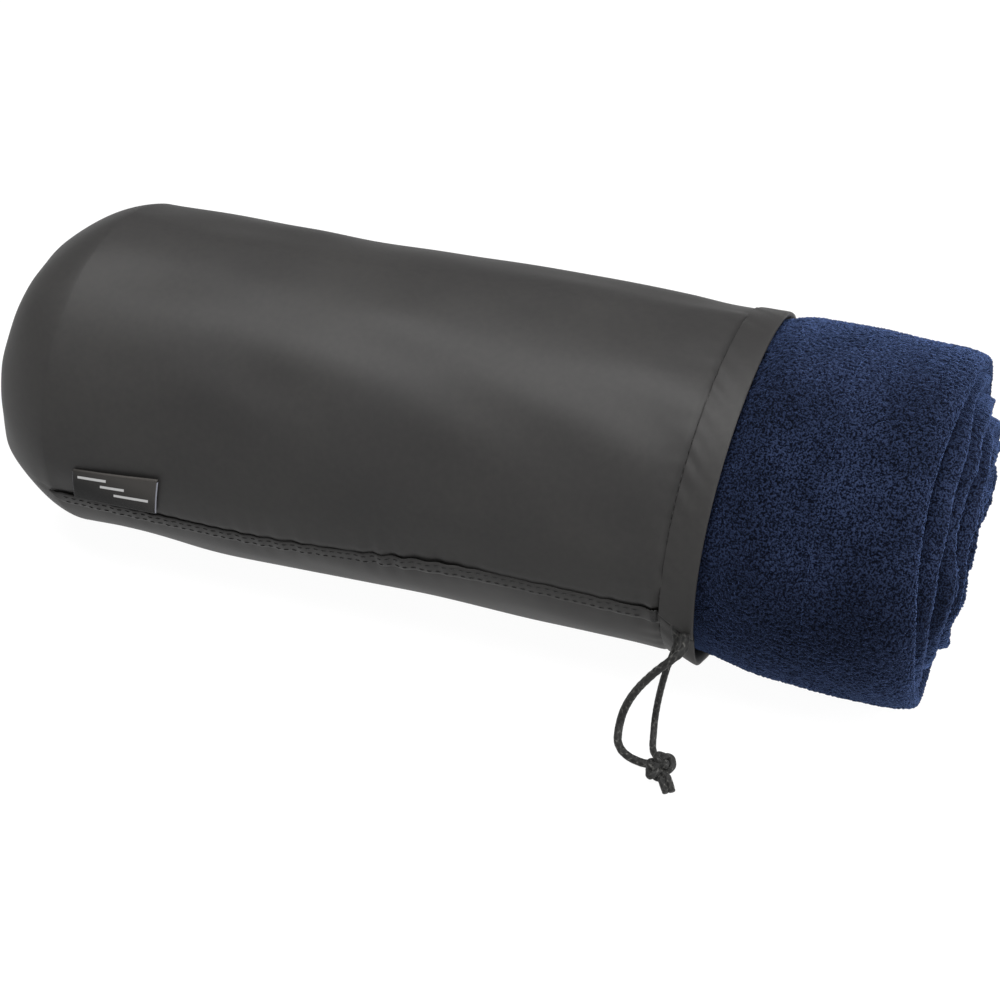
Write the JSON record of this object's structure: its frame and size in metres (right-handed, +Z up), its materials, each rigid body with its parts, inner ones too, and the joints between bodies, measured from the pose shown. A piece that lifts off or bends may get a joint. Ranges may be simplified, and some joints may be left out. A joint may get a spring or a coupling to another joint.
{
  "type": "quick dry towel",
  "caption": "Microfibre travel towel folded, rolled and drawn part way out of its drawstring pouch, with a knotted cord and a side label.",
  "frame": {"origin": "on the surface that the roll lies on, under the middle of the roll's length and width; the free drawcord in front of the roll is left out of that middle", "axes": "+X along the roll's axis from the pouch's closed end to the towel's open end, +Z up, -Y towards the side seam, the label and the drawcord"},
  "size_m": [0.3631, 0.1683, 0.1287],
  "materials": {
    "pouch_fabric": "satin",
    "thread": "matte",
    "cord": "matte",
    "label_satin": "satin",
    "towel_pile": "matte"
  },
  "bodies": {
    "pouch": {"pouch_shell": "pouch_fabric", "end_seam": "pouch_fabric", "side_seam_lap": "pouch_fabric", "mouth_channel": "pouch_fabric", "side_seam_stitch_upper": "thread", "side_seam_stitch_lower": "thread", "mouth_stitch": "thread", "exit_bar_tack": "thread", "drawcord_run": "cord", "drawcord_tail_left": "cord", "drawcord_tail_right": "cord", "drawcord_knot": "cord", "drawcord_stub_left": "cord", "drawcord_stub_right": "cord"},
    "towel": {"towel_roll": "towel_pile", "towel_hem": "towel_pile"},
    "label": {"side_label": "label_satin"}
  },
  "joints": [
    {"name": "towel_slide", "type": "slide", "parent": "pouch", "child": "towel", "axis": [1, 0, 0], "range_m": [0, 0.3]},
    {"name": "label_flip", "type": "hinge", "parent": "pouch", "child": "label", "pos_m": [-0.12635, -0.0622, 0.04086], "axis": [1, 0, 0], "range_deg": [0, 110]}
  ]
}
